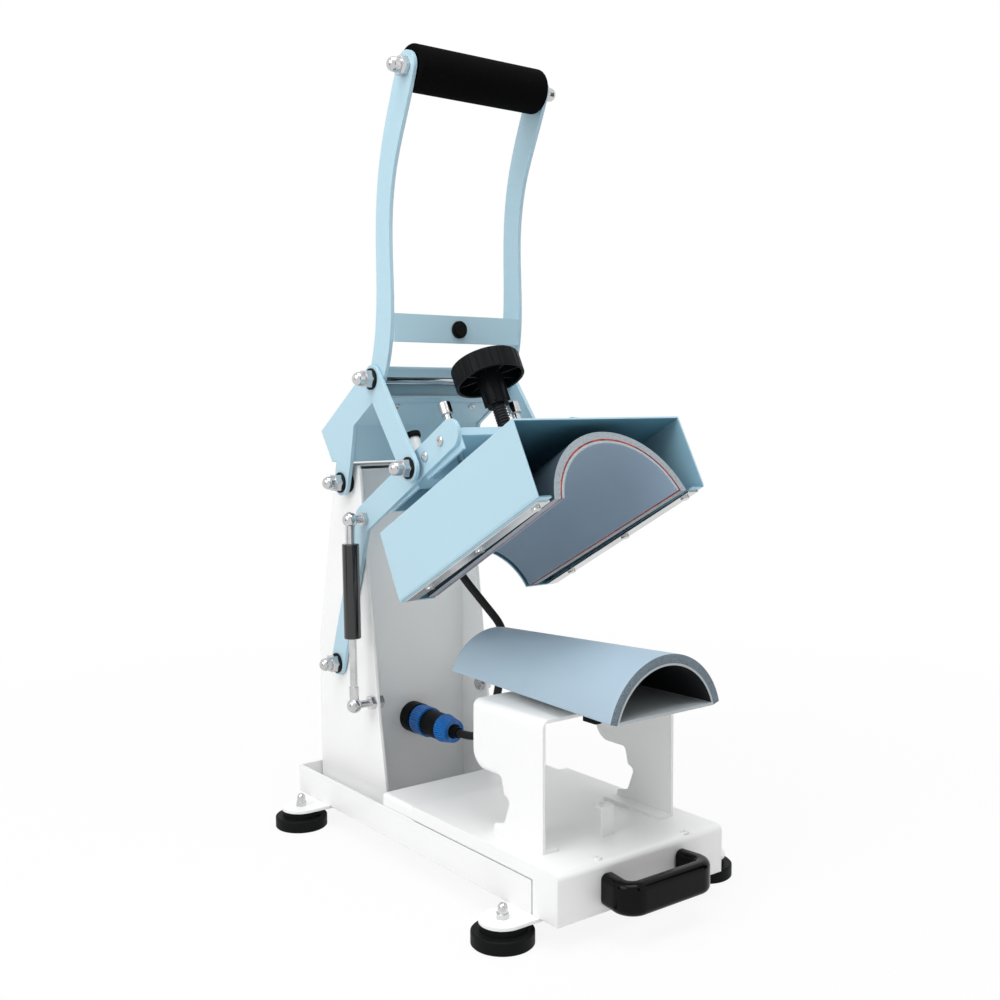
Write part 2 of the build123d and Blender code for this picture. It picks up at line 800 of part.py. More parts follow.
cup_bore = stud_radius + 2.0
with BuildPart() as spring_cup:
    with BuildSketch(spring_frame.offset(spring_length - tube_top_gap)):
        Circle(spring_neck_radius)
    extrude(amount=tube_top_gap)
    with Locations(spring_frame.offset(spring_length)):
        Sphere(spring_cup_radius)
    with BuildSketch(facing_out(-1, eye_start, spring_top)):
        Circle(cup_bore)
    extrude(amount=eye_depth, mode=Mode.SUBTRACT)
save(spring_cup.part, "spring_cup")

# Studs of the gas spring: the lower one has a second nut inside the tower, its twin on the right holds nothing
stud_nut_flats = 13.0
stud_nut_height = 6.0
stud_reach = spring_x + 3

with BuildPart() as stud_nut:
    with BuildSketch():
        RegularPolygon(stud_nut_flats / 2, 6, major_radius=False)
    extrude(amount=stud_nut_height)

with BuildPart() as tower_hardware:
    add(nutted_rod(arm_pivot, arm_nut_seat))
    add(nutted_rod(lever_pivot, lever_nut_seat))
    for side, outer_end in ((-1, stud_reach), (1, tower_outer + stud_nut_height)):
        for seat in (tower_outer, tower_inner - stud_nut_height):
            with Locations(facing_out(side, seat, spring_low)):
                add(stud_nut.part)
        with BuildSketch(facing_out(side, tower_inner - stud_nut_height - 2, spring_low)):
            Circle(stud_radius)
        extrude(amount=outer_end - tower_inner + stud_nut_height + 2)
save(tower_hardware.part, "tower_hardware")
with BuildPart() as arm_hardware:
    add(arm_screws.part)
    with Locations(facing_out(-1, arm_outer, spring_top)):
        add(stud_nut.part)
    with BuildSketch(facing_out(-1, arm_inner, spring_top)):
        Circle(stud_radius)
    extrude(amount=stud_reach - arm_inner)
save(arm_hardware.part, "arm_hardware")

# Heated cover: folded box with a hem under each side, open in front and arched open at the back
cover_middle = (cover_front + cover_back) / 2
cover_length = cover_back - cover_front


def arch_outline(half_width, bottom, top):
    """Closed outline of an arch on a straight foot."""
    with BuildLine() as outline:
        ThreePointArc((-half_width, bottom), (0, top), (half_width, bottom))
        Line((half_width, bottom), (-half_width, bottom))
    return outline.edges()


def press_section(y):
    """Upright section of the press frame at a place along the cover, facing forward."""
    return Plane(
        origin=press_frame.from_local_coords(Vector(0, y, 0)),
        x_dir=(1, 0, 0),
        z_dir=(0, -cos(radians(press_tilt)), sin(radians(press_tilt))),
    )


with BuildPart() as cover:
    with BuildSketch(press_section(cover_back)):
        with Locations((0, cover_bottom + cover_height / 2)):
            Rectangle(2 * cover_half_width, cover_height)
    extrude(amount=cover_length)
    long_edges = cover.edges().filter_by(Axis(origin=(0, 0, 0), direction=press_frame.y_dir))
    fillet(long_edges.sort_by(Axis(origin=(0, 0, 0), direction=press_frame.z_dir))[:2], cover_fold)
    with BuildSketch(press_section(cover_back - cover_sheet)):
        with Locations((0, cover_bottom + cover_height / 2)):
            Rectangle(2 * (cover_half_width - cover_sheet), cover_height - 2 * cover_sheet)
        with Locations((0, cover_bottom + cover_sheet / 2)):
            Rectangle(2 * (cover_half_width - cover_hem), cover_sheet)
    extrude(amount=cover_length, mode=Mode.SUBTRACT)
    with BuildSketch(press_section(cover_back)):
        make_face(arch_outline(arch_back_half_width, cover_bottom, cover_bottom + arch_back_rise))
    extrude(amount=cover_sheet, mode=Mode.SUBTRACT)
    with Locations(*[press_frame * Location((x, guide_y, cover_top)) for x in (-guide_x, guide_x)]):
        Hole(guide_radius, depth=cover_sheet)
save(cover.part, "cover")

stack_front = cover_front + 4
stack_back = cover_back - 4 - cover_sheet


def arch_layer(inside, outside):
    """Tapered arched layer of the heater stack, between two distances out from the felt face."""
    with BuildPart() as layer:
        for grown, mode in ((outside, Mode.ADD), (inside, Mode.SUBTRACT)):
            with BuildSketch(press_section(stack_front)):
                top = cover_bottom + arch_front_rise + grown
                make_face(arch_outline(arch_front_half_width + grown, cover_bottom, top))
            with BuildSketch(press_section(stack_back)):
                top = cover_bottom + arch_back_rise + grown
                make_face(arch_outline(arch_back_half_width + grown, cover_bottom, top))
            loft(mode=mode)
    return layer.part


heater_start = felt_thickness
backing_start = felt_thickness + heater_thickness
backing_end = backing_start + backing_thickness
save(arch_layer(0, heater_start), "upper_felt")
save(arch_layer(heater_start, backing_start), "heater_mat")
save(arch_layer(backing_start, backing_end), "upper_form")

# Steel strips that clamp the stack to the cover hems, and their screws
strip_x = cover_half_width - 10.5
strip_half = 6.5
strip_sheet = 1.5
strip_screw_spacing = 92.0
strip_screw_ys = [cover_middle - 12 + step * strip_screw_spacing for step in (-1, 0, 1)]
with BuildPart(press_frame) as clamp_strips:
    with Locations(*[(x, cover_middle, cover_bottom - strip_sheet / 2) for x in (-strip_x, strip_x)]):
        Box(2 * strip_half, cover_length - 12, strip_sheet)
    with Locations(
        *[(x, y, cover_bottom - strip_sheet - 1.0) for x in (-strip_x, strip_x) for y in strip_screw_ys]
    ):
        Cylinder(4.2, 2.0)
save(clamp_strips.part, "clamp_strips")

# Guide bolts from the cover up through the bridge, and the thrust cup for the pressure screw
with BuildPart(press_frame) as cover_fittings:
    for x in (-guide_x, guide_x):
        with Locations((x, guide_y, (cover_top - cover_sheet + guide_head_z) / 2)):
            Cylinder(guide_radius, guide_head_z - cover_top + cover_sheet)
        with Locations((x, guide_y, guide_head_z + 6)):
            Cylinder(6.5, 12)
    with Locations((0, knob_y, cover_top + 7)):
        Cylinder(14, 14)
    with Locations((0, knob_y, cover_top + 9)):
        Cylinder(screw_radius + running_gap, 10, mode=Mode.SUBTRACT)
save(cover_fittings.part, "cover_fittings")

# Pressure screw with its hand knob
knob_bottom = knob_middle - knob_depth / 2
hub_bottom = knob_middle - 39
screw_bottom = cover_top + 4.2
with BuildPart(press_frame) as pressure_screw:
    with Locations((0, knob_y, (screw_bottom + hub_bottom) / 2)):
        Cylinder(screw_radius, hub_bottom - screw_bottom)
save(pressure_screw.part, "pressure_screw")

knob_top = knob_middle + knob_depth / 2
rib_count = 28
spoke_count = 8
with BuildPart(press_frame) as knob:
    with Locations((0, knob_y, knob_middle)):
        Cylinder(knob_radius, knob_depth)
    fillet(knob.edges().filter_by(GeomType.CIRCLE).sort_by(Axis((0, 0, 0), press_frame.z_dir))[-1], 3)
    with Locations((0, knob_y, knob_middle - 4)):
        Cylinder(knob_radius - 3, knob_depth - 8, mode=Mode.SUBTRACT)
    with BuildSketch(press_frame.offset(hub_bottom)):
        with Locations((0, knob_y)):
            Circle(11)
    with BuildSketch(press_frame.offset(knob_top - 4)):
        with Locations((0, knob_y)):
            Circle(14)
    loft()
    with Locations((0, knob_y, knob_bottom + 9)):
        with PolarLocations(knob_radius / 2 + 4, spoke_count):
            Box(knob_radius - 12, 2, 10)
    with Locations((0, knob_y, (hub_bottom + knob_top) / 2)):
        with PolarLocations(11.5, spoke_count):
            Box(4, 2, knob_top - hub_bottom - 4)
    with Locations((0, knob_y, knob_middle)):
        with PolarLocations(knob_radius + 0.8, rib_count):
            Cylinder(1.6, knob_depth - 2, mode=Mode.SUBTRACT)
save(knob.part, "knob")

# Stand of the lower platen: folded sheet with shaped cheeks
stand_front_y = -184.7
stand_cheek = (
    ((stand_front_y, drawer_top), 0),
    ((stand_front_y, stand_top), 0),
    ((-77.0, stand_top), 7.0),
    ((-76.5, 119.3), 20.0),
    ((-119.8, 119.7), 3.0),
    ((-124.4, 103.1), 2.5),
    ((-132.1, 100.4), 3.0),
    ((-124.2, 80.5), 3.0),
    ((-109.8, 76.5), 3.0),
    ((-106.5, drawer_top), 0),
)
with BuildPart() as stand:
    with BuildSketch(Plane.YZ.offset(-stand_half_width)) as cheek:
        with BuildLine():
            Polyline(*[point for point, radius in stand_cheek], close=True)
        make_face()
        for point, radius in stand_cheek:
            if radius > 0:
                fillet(cheek.vertices().sort_by_distance((point[0], point[1], 0))[0], radius)
    extrude(amount=2 * stand_half_width)
    fillet(stand.edges().filter_by(Axis.Y).group_by(Axis.Z)[-1], stand_fold)
    with BuildSketch(Plane.XZ.offset(60)):
        with Locations((0, (drawer_top + stand_top) / 2)):
            Rectangle(2 * (stand_half_width - stand_sheet), stand_top - drawer_top - 2 * stand_sheet)
        with Locations((0, drawer_top + stand_sheet / 2)):
            Rectangle(2 * (stand_half_width - 18), stand_sheet)
    extrude(amount=140, mode=Mode.SUBTRACT)
save(stand.part, "stand")


def form_body(drop):
    """Tapered arched body of the lower platen, shrunk by a drop."""
    with BuildPart() as body:
        with BuildSketch(Plane.XZ.offset(-form_front)):
            make_face(arch_outline(form_front_half_width - drop, form_bottom, form_bottom + form_front_rise - drop))
        with BuildSketch(Plane.XZ.offset(-form_back)):
            make_face(arch_outline(form_back_half_width - drop, form_bottom, form_bottom + form_back_rise - drop))
        loft()
    return body.part


with BuildPart() as lower_pad:
    add(form_body(0))
    add(form_body(pad_thickness), mode=Mode.SUBTRACT)
save(lower_pad.part, "lower_pad")

with BuildPart() as form_hollow:
    add(form_body(pad_thickness + form_shell))
    with Locations((0, (form_front + form_back) / 2, form_bottom)):
        Box(
            2 * form_front_half_width,
            form_back - form_front,
            2 * form_floor,
            mode=Mode.SUBTRACT,
        )
with BuildPart() as lower_form:
    add(form_body(pad_thickness))
    add(form_hollow.part, mode=Mode.SUBTRACT)
save(lower_form.part, "lower_form")

with BuildPart() as platen_spacers:
    with BuildSketch(Plane.XY.offset(stand_top)):
        for x, y in spacer_spots:
            with Locations((-x, y), (x, y)):
                Circle(8)
    extrude(amount=spacer_height)
    with BuildSketch(Plane.XY.offset(stand_top)):
        with Locations((-front_pad_at[0], front_pad_at[1]), front_pad_at):
            RectangleRounded(8, 18, 2)
    extrude(amount=spacer_height)
save(platen_spacers.part, "platen_spacers")

# Power inlet and rocker switch in the back cover
with BuildPart() as power_inlet:
    with Locations((inlet_at[0], power_y - 10, inlet_at[1])):
        Box(inlet_size[0], 20, inlet_size[1])
    with Locations((inlet_at[0], power_y + 1.5, inlet_at[1])):
        Box(inlet_size[0] + 8, 3, inlet_size[1] + 6)
    with Locations((inlet_at[0], power_y - 4.5, inlet_at[1])):
        Box(27, 15, 19, mode=Mode.SUBTRACT)
save(power_inlet.part, "power_inlet")

with BuildPart() as power_switch:
    with Locations((switch_at[0], power_y - 10, switch_at[1])):
        Box(switch_size[0], 20, switch_size[1])
    with Locations((switch_at[0], power_y + 1, switch_at[1])):
        Box(switch_size[0] + 4, 2, switch_size[1] + 4)
    with Locations((switch_at[0], power_y - 5, switch_at[1])):
        Box(switch_size[0] - 5, 16, switch_size[1] - 5, mode=Mode.SUBTRACT)
save(power_switch.part, "power_switch")

# Rocker that tips about a short axis inside the switch
rocker_axis_y = power_y - 5.0
rocker_length = switch_size[0] - 10
with BuildPart() as switch_rocker:
    with BuildSketch(Plane.XY.offset(switch_at[1] - (switch_size[1] - 6) / 2)):
        with BuildLine():
            Polyline(
                (switch_at[0] - rocker_length / 2, rocker_axis_y + 5.2),
                (switch_at[0], rocker_axis_y + 6.6),
                (switch_at[0] + rocker_length / 2, rocker_axis_y + 9.4),
                (switch_at[0] + rocker_length / 2 - 1.5, rocker_axis_y),
                (switch_at[0], rocker_axis_y - 4),
                (switch_at[0] - rocker_length / 2 + 1.5, rocker_axis_y),
                close=True,
            )
        make_face()
    extrude(amount=switch_size[1] - 6)
    with Locations((switch_at[0], rocker_axis_y, switch_at[1])):
        Cylinder(1.5, switch_size[1] - 5.4)
save(switch_rocker.part, "switch_rocker")

# Control box on the right side plate, with its display window
panel_y = 172.0
panel_z = 104.0
panel_size = (76.0, 72.0)
panel_depth = 8.0
window_size = (52.0, 22.0)
window_z = panel_z + 16
panel_face = Plane(origin=(tower_outer, panel_y, panel_z), x_dir=(0, 1, 0), z_dir=(1, 0, 0))
with BuildPart() as control_panel:
    with BuildSketch(panel_face):
        RectangleRounded(*panel_size, 6)
    extrude(amount=panel_depth)
    fillet(control_panel.faces().sort_by(Axis.X)[-1].edges(), 1.5)
    with BuildSketch(panel_face.offset(panel_depth)):
        with Locations((0, window_z - panel_z)):
            Rectangle(*window_size)
    extrude(amount=-1.5, mode=Mode.SUBTRACT)
save(control_panel.part, "control_panel")
with BuildPart() as control_window:
    with BuildSketch(panel_face.offset(panel_depth - 1.5)):
        with Locations((0, window_z - panel_z)):
            Rectangle(*window_size)
    extrude(amount=1.2)
save(control_window.part, "control_window")

# Round power socket of the heater on the tower web, with its plug and coupling rings
plug_face = 64.0
web_front = Plane(origin=(0, tower_web_y, lead_z), x_dir=(1, 0, 0), z_dir=(0, -1, 0))
plug_reach = tower_web_y - plug_face
socket_flange = 17.0
socket_flange_depth = 16.0
ring_start = 18.0
ring_end = 36.0
plug_body_end = plug_reach - 17
plug_radius = 14.5
plug_neck = 8.0
lead_radius = 4.25
boot_radius = 5.6
boot_length = 9.0
with BuildPart() as lead_socket:
    with BuildSketch(web_front):
        Circle(socket_flange)
    extrude(amount=socket_flange_depth)
    with BuildSketch(web_front):
        Circle(socket_radius)
    extrude(amount=ring_end)
    with BuildSketch(web_front):
        Circle(socket_radius)
    extrude(amount=-16)
    with BuildSketch(web_front.offset(ring_end)):
        Circle(plug_radius)
    extrude(amount=plug_body_end - ring_end)
    with BuildSketch(web_front.offset(plug_body_end)):
        Circle(plug_neck)
    extrude(amount=plug_reach - plug_body_end)
    with BuildSketch(web_front.offset(plug_reach)):
        Circle(boot_radius)
        Circle(lead_radius + thread_gap, mode=Mode.SUBTRACT)
    extrude(amount=boot_length)
save(lead_socket.part, "lead_socket")
with BuildPart() as lead_rings:
    with BuildSketch(web_front.offset(ring_start)):
        Circle(16.5)
        Circle(socket_radius, mode=Mode.SUBTRACT)
    extrude(amount=ring_end - ring_start)
    with BuildSketch(web_front.offset(plug_body_end)):
        Circle(15.5)
    with BuildSketch(web_front.offset(plug_reach)):
        Circle(12.5)
    loft()
    with BuildSketch(web_front.offset(plug_body_end)):
        Circle(plug_neck)
    extrude(amount=plug_reach - plug_body_end, mode=Mode.SUBTRACT)
save(lead_rings.part, "lead_rings")

# Hanger on the arms that holds the end of the heater lead behind the cover
hanger_front = brace_back
hanger_sheet = 2.0
hanger_half_width = 10.0
gland_x = -7.5
gland_y = -96.0
gland_low = 296.0
gland_high = 318.0
gland_radius = 8.0
tab_z = 304.0
with BuildPart(press_frame) as lead_hanger:
    with Locations((gland_x, hanger_front + hanger_sheet / 2, (tab_z + brace_top) / 2)):
        Box(2 * hanger_half_width, hanger_sheet, brace_top - tab_z)
    with Locations((gland_x, (hanger_front + gland_y + 10) / 2, tab_z + hanger_sheet / 2)):
        Box(2 * hanger_half_width, gland_y + 10 - hanger_front, hanger_sheet)
    with Locations((gland_x, gland_y, (gland_low + gland_high) / 2)):
        Cylinder(gland_radius, gland_high - gland_low)
save(lead_hanger.part, "lead_hanger")

# Heater lead from the plug up to the gland
gland_exit = press_frame.from_local_coords(Vector(gland_x, gland_y, gland_low))
gland_before = press_frame.from_local_coords(Vector(gland_x, gland_y, gland_low - 18))
lead_points = [
    Vector(0, plug_face, lead_z),
    Vector(0, 38, lead_z),
    Vector(2, 16, 115),
    Vector(6, 1, 139),
    Vector(10, -3, 170),
    Vector(20, 1, 200),
    Vector(28, 12, 226),
    Vector(15, 25, 249),
    Vector(-2, 38, 276),
    gland_before,
    gland_exit,
]


def bend_radii(points):
    """Radius of each bend of a route, from its shorter run and its turn."""
    radii = []
    for before, at, after in zip(points, points[1:], points[2:]):
        run_in = at - before
        run_out = after - at
        shorter = min(run_in.length, run_out.length)
        half_turn = radians(run_in.get_angle(run_out) / 2)
        radii.append(0.45 * shorter * cos(half_turn) / sin(half_turn))
    return radii


lead_radii = bend_radii(lead_points)
print("lead radii", [round(r, 1) for r in lead_radii])
with BuildPart() as lead:
    with BuildLine():
        lead_path = FilletPolyline(*lead_points, radius=lead_radii)
    with BuildSketch(Plane(origin=lead_points[0], z_dir=(0, -1, 0))):
        Circle(lead_radius)
    sweep()
print("lead volume", lead.part.volume, "expected", pi * lead_radius**2 * lead_path.length)
save(lead.part, "lead")

# Small screws of the hood and the white screws of the stand
with BuildPart() as hood_screws:
    hood_face = Plane(origin=(0, 90.0, 461.8), x_dir=(1, 0, 0), z_dir=(0, -0.53, -0.848))
    with Locations(*[hood_face * Location((x, -6.0, 0)) for x in (-48.6, 48.6)]):
        add(button_screw(4.0, 2.2, 1.8, 0))
save(hood_screws.part, "hood_screws")
with BuildPart() as stand_screws:
    stand_screw = button_screw(4.0, 1.8, 1.8, 0)
    with Locations(*[(x, y, drawer_top) for x, y in ((-48.0, -220.0), (57.0, -222.0))]):
        add(stand_screw)
save(stand_screws.part, "stand_screws")
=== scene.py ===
from math import asin, cos, pi, radians, sin

import bpy
from mathutils import Matrix, Vector


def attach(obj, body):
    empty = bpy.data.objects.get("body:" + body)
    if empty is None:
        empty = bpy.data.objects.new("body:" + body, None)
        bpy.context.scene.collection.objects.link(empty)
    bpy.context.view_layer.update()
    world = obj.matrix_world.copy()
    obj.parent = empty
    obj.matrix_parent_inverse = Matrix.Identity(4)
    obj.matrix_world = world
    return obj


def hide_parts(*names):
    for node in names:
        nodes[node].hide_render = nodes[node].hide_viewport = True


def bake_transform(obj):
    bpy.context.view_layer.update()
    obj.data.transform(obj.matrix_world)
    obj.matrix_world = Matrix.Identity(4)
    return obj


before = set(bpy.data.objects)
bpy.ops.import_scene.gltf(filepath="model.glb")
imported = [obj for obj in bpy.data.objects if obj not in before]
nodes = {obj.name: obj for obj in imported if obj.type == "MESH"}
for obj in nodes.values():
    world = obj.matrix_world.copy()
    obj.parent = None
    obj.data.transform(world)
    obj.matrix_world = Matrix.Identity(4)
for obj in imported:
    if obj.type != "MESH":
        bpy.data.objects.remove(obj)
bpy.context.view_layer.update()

bpy.ops.object.select_all(action="DESELECT")


# White enamelled sheet: the base tray with its deck and foot bars, the drawer with its stand, and the
# tower. All are folded from 2 to 3 mm steel and powder coated in the same gloss white.

enamel_white = (0.90, 0.905, 0.90)
# Paler edge colour: partly paint thinning over the folds, partly a painted highlight.
enamel_rim_highlight = (0.95, 0.95, 0.95)
enamel_fold_radius = 0.0009


class Term:
    """One value of a material that grows by Math nodes when it is used in an expression."""

    def __init__(self, finish, socket):
        self.finish = finish
        self.socket = socket

    def joined(self, operation, first, second):
        return self.finish.node("ShaderNodeMath", {"operation": operation}, {0: first, 1: second})

    def __add__(self, other):
        return self.joined("ADD", self, other)

    __radd__ = __add__

    def __mul__(self, other):
        return self.joined("MULTIPLY", self, other)

    __rmul__ = __mul__

    def __sub__(self, other):
        return self.joined("SUBTRACT", self, other)

    def __rsub__(self, other):
        return self.joined("SUBTRACT", other, self)

    def __abs__(self):
        return self.finish.node("ShaderNodeMath", {"operation": "ABSOLUTE"}, {0: self})

    def __gt__(self, other):
        return self.joined("GREATER_THAN", self, other)

    def __lt__(self, other):
        return self.joined("LESS_THAN", self, other)


class Finish:
    """A material in the making, with one Principled shader and the nodes that feed it."""

    def __init__(self, name, **fixed):
        self.material = bpy.data.materials.new(name)
        self.material.use_nodes = True
        self.tree = self.material.node_tree
        self.shader = self.tree.nodes["Principled BSDF"]
        for socket, value in fixed.items():
            self.shader.inputs[socket.replace("_", " ")].default_value = value
        self.place = self.node("ShaderNodeTexCoord", {}, {}, "Object")

    def node(self, kind, settings, inputs, output=0):
        """One more node, with its settings made first and then the values or links of its sockets."""
        made = self.tree.nodes.new(kind)
        for name, value in settings.items():
            setattr(made, name, value)
        for name, value in inputs.items():
            if isinstance(value, Term):
                self.tree.links.new(value.socket, made.inputs[name])
            else:
                made.inputs[name].default_value = value
        return Term(self, made.outputs[output])

    def noise(self, scale, detail=2.0, roughness=0.5):
        """Cloudy noise in the solid, with its scale in waves to the metre."""
        inputs = {"Vector": self.place, "Scale": scale, "Detail": detail, "Roughness": roughness}
        return self.node("ShaderNodeTexNoise", {}, inputs, "Fac")

    def mix(self, share, first, second):
        """Colour between two colours, the first at share 0 and the second at share 1."""
        ends = [value if isinstance(value, Term) else (*value, 1.0) for value in (first, second)]
        return self.node("ShaderNodeMix", {"data_type": "RGBA"}, {0: share, 6: ends[0], 7: ends[1]}, 2)

    def dot(self, first, second):
        product = {"operation": "DOT_PRODUCT"}
        return self.node("ShaderNodeVectorMath", product, {0: first, 1: second}, "Value")

    def normal(self):
        return self.node("ShaderNodeNewGeometry", {}, {}, "Normal")

    def facing(self, direction):
        """How far the surface turns towards a direction, from -1 to 1."""
        return self.dot(self.normal(), direction)

    def along(self, direction):
        """Place of the surface along a direction, in metres from the origin."""
        return self.dot(self.place, direction)

    def rounded(self, radius):
        """Normal of the surface with its edges rounded to a radius."""
        return self.node("ShaderNodeBevel", {"samples": 6}, {"Radius": radius})

    def edge(self, radius):
        """Normal with rounded edges, and the share of a fold or a cut edge in the surface."""
        rounded = self.rounded(radius)
        return rounded, 1.0 - self.dot(rounded, self.normal())

    def feed(self, **values):
        for socket, value in values.items():
            self.tree.links.new(value.socket, self.shader.inputs[socket.replace("_", " ")])

    def bump(self, height, strength, distance, normal=None):
        """Relief of the surface, on top of a rounded normal where one is given."""
        inputs = {"Height": height, "Strength": strength, "Distance": distance}
        if normal:
            inputs["Normal"] = normal
        self.feed(Normal=self.node("ShaderNodeBump", {}, inputs))


def tinted(colour, share):
    return [share * channel for channel in colour]


def powder_coat(name, colour, rim, gloss, inner_shade=None):
    """Powder coat on folded sheet: a little cloudy, with fine peel, and edges paler, partly where the
    paint thins over the folds and partly as a painted highlight.

    An inner shade, where given, gives the share of an inner side in the surface and the painted shade
    colour of that side.
    """
    coat = Finish(name, IOR=1.5)
    rounded, edge_highlight_share = coat.edge(enamel_fold_radius)
    cloud = coat.noise(9.0, 3.0)
    speck = coat.noise(1400.0, 2.0)
    # Edges turn toward the rim colour: partly thinner paint, partly a painted highlight.
    skin = coat.mix(edge_highlight_share * 2.2, coat.mix(cloud, tinted(colour, 0.965), colour), rim)
    # Inner sides take a painted shade colour, lighter as painted light where they face the left lamp.
    if inner_shade:
        inside, inner_shade_colour = inner_shade(coat)
        skin = coat.mix(inside, skin, inner_shade_colour)
    coat.feed(Base_Color=skin, Roughness=gloss + 0.12 * speck + 0.05 * cloud)
    coat.bump(coat.noise(650.0, 3.0), 0.12, 0.0002, rounded)
    return coat.material


def dress(material, *names):
    """Puts a finish on solid pieces that already have their full shape."""
    for name in names:
        data = nodes[name].data
        data.materials.clear()
        data.materials.append(material)


dress(
    powder_coat("white_enamel", enamel_white, enamel_rim_highlight, 0.24),
    "base_tray",
    "base_deck",
    "foot_bars",
    "drawer",
    "stand",
    "tower_plate_left",
    "tower_plate_right",
    "tower_web",
    "tower_back",
    "stop_posts",
)


# Feet: turned hard rubber discs under the bars, dull black with a fine grain, and the small soft parts
# of the same rubber: post caps, the bumper on the crossbar and the spacers under the lower form.


def black_rubber(name, colour, dull, grain):
    """Moulded black rubber or plastic with a fine even grain."""
    rubber = Finish(name, Specular_IOR_Level=0.06)
    rounded, edge_highlight_share = rubber.edge(0.0006)
    cloud = rubber.noise(40.0, 4.0)
    body = rubber.mix(cloud, tinted(colour, 0.6), colour)
    # Cut edges are painted three times lighter, a painted highlight along the edges.
    rubber.feed(Base_Color=rubber.mix(edge_highlight_share, body, tinted(colour, 3.0)), Roughness=dull + 0.16 * cloud)
    rubber.bump(rubber.noise(grain, 2.0), 0.25, 0.00015, rounded)
    return rubber.material


dress(
    black_rubber("foot_rubber", (0.008, 0.009, 0.009), 0.42, 1500.0),
    "feet",
    "stop_caps",
    "crossbar_bumper",
    "platen_spacers",
)


# Bright fasteners: domed nuts, hex nuts, rods, studs and screws of chromed steel, and the polished
# rod and cup of the gas spring.


def bright_metal(name, colour, gloss, grain):
    """Chromed or ground steel with a faint uneven polish."""
    metal = Finish(name, Metallic=1.0)
    cloud = metal.noise(grain, 3.0)
    metal.feed(Base_Color=metal.mix(cloud, tinted(colour, 0.55), colour), Roughness=gloss + 0.1 * cloud)
    metal.bump(metal.noise(grain * 8, 2.0), 0.04, 0.0001, metal.rounded(0.0004))
    return metal.material


dress(
    bright_metal("chrome", (0.74, 0.74, 0.75), 0.07, 60.0),
    "foot_bolts",
    "tower_hardware",
    "arm_hardware",
    "toggle_rod",
    "grip_core",
    "link_bolts",
    "spring_rod",
    "spring_cup",
    "hood_screws",
    "cover_fittings",
)


# Black washers between the moving sheets: punched nylon rings with a satin face, put on the axles, the
# toggle rod and the pivot bolts of the links.

dress(
    black_rubber("washer_nylon", (0.012, 0.012, 0.013), 0.35, 900.0),
    "axle_washers",
    "toggle_washers",
    "link_washers",
)


# Drawer fittings: the bow handle is gloss black moulding, screwed from behind the drawer front. The
# runners and the small screws of the stand are natural nylon.

gloss_black = Finish("gloss_black", Roughness=0.09, Specular_IOR_Level=0.12)
gloss_black.feed(
    Base_Color=gloss_black.mix(gloss_black.noise(25.0, 3.0), (0.001, 0.001, 0.001), (0.002, 0.002, 0.002))
)
gloss_black.bump(gloss_black.noise(70.0, 2.0), 0.05, 0.0004, gloss_black.rounded(0.002))
dress(gloss_black.material, "drawer_handle")

nylon = Finish("white_nylon")
nylon_cloud = nylon.noise(50.0, 3.0)
nylon.feed(
    Base_Color=nylon.mix(nylon_cloud, (0.78, 0.78, 0.75), (0.86, 0.86, 0.84)),
    Roughness=0.35 + 0.15 * nylon_cloud,
)
nylon.bump(nylon.noise(800.0, 2.0), 0.15, 0.0002)
dress(nylon.material, "drawer_runners", "stand_screws")


# Black mouldings: the inlet, the switch, the control box, the hand knob and the body of the heater plug
# have a fine spark grain. A dark gloss window covers the display of the control box.

black_plastic = black_rubber("black_plastic", (0.008, 0.009, 0.0095), 0.3, 2200.0)
dress(black_plastic, "power_inlet", "power_switch", "switch_rocker", "control_panel", "knob", "lead_socket")

window = Finish("dark_window", Roughness=0.06, Coat_Weight=0.8)
window.feed(Base_Color=window.mix(window.noise(30.0), (0.004, 0.008, 0.012), (0.008, 0.014, 0.02)))
dress(window.material, "control_window")


# Blue paint: arms, links, lever and hood, with the crossbar and the hanger of the lead, are cut and
# folded steel sheet in a pale blue powder coat. Axles, rods and bolts through the sheets hold them.

pale_blue = (0.44, 0.64, 0.74)
# Paler edge colour of the blue coat: partly paint thinning over folds, partly a painted highlight.
blue_rim_highlight = (0.66, 0.83, 0.92)
blue_gloss = 0.26
dress(
    powder_coat("blue_enamel", pale_blue, blue_rim_highlight, blue_gloss),
    "arm_left",
    "arm_right",
    "arm_bridges",
    "links",
    "lever_left",
    "lever_right",
    "hood_front",
    "hood_back",
    "crossbar",
    "lead_hanger",
)


# Cover: a folded blue box over the heater, open in front. Its inner side is painted dark as painted
# shade, with inner walls that face left painted lighter as painted light, and the outer side has the
# same blue powder coat as the arms.

press_turn = radians(28.2)
press_back = (0.0, cos(press_turn), -sin(press_turn))
press_up = (0.0, sin(press_turn), cos(press_turn))

# Sizes here are measured from the middle of the base, and the origin is the middle of the whole floor
# space, which the handle of the drawer makes longer
floor_shift = 0.01975

cover_inner_half = 0.0985
cover_inner_top = 0.3135 + floor_shift * sin(press_turn)
cover_hem_face = 0.2411 + floor_shift * sin(press_turn)
cover_back_face = -0.1165 + floor_shift * cos(press_turn)
# Painted shade inside the cover, and painted light on its inner walls that face left.
inner_painted_shade = (0.10, 0.26, 0.36)
inner_painted_light = (0.26, 0.46, 0.57)

# From this share on, a surface counts as turned to a direction
turned_share = 0.7


def cover_inner_shade(coat):
    """Share of the cover's inner side in its surface, and the painted shade colour of that side, lighter
    where it faces left.
    """
    height = coat.along(press_up)
    inside = abs(coat.along((1.0, 0.0, 0.0))) < cover_inner_half
    inside = inside * (height < cover_inner_top) * (height > cover_hem_face)
    inside = inside * (coat.along(press_back) < cover_back_face)
    return inside, coat.mix(coat.facing((-1.0, 0.0, 0.0)) > turned_share, inner_painted_shade, inner_painted_light)


dress(powder_coat("cover_blue", pale_blue, blue_rim_highlight, blue_gloss, cover_inner_shade), "cover")


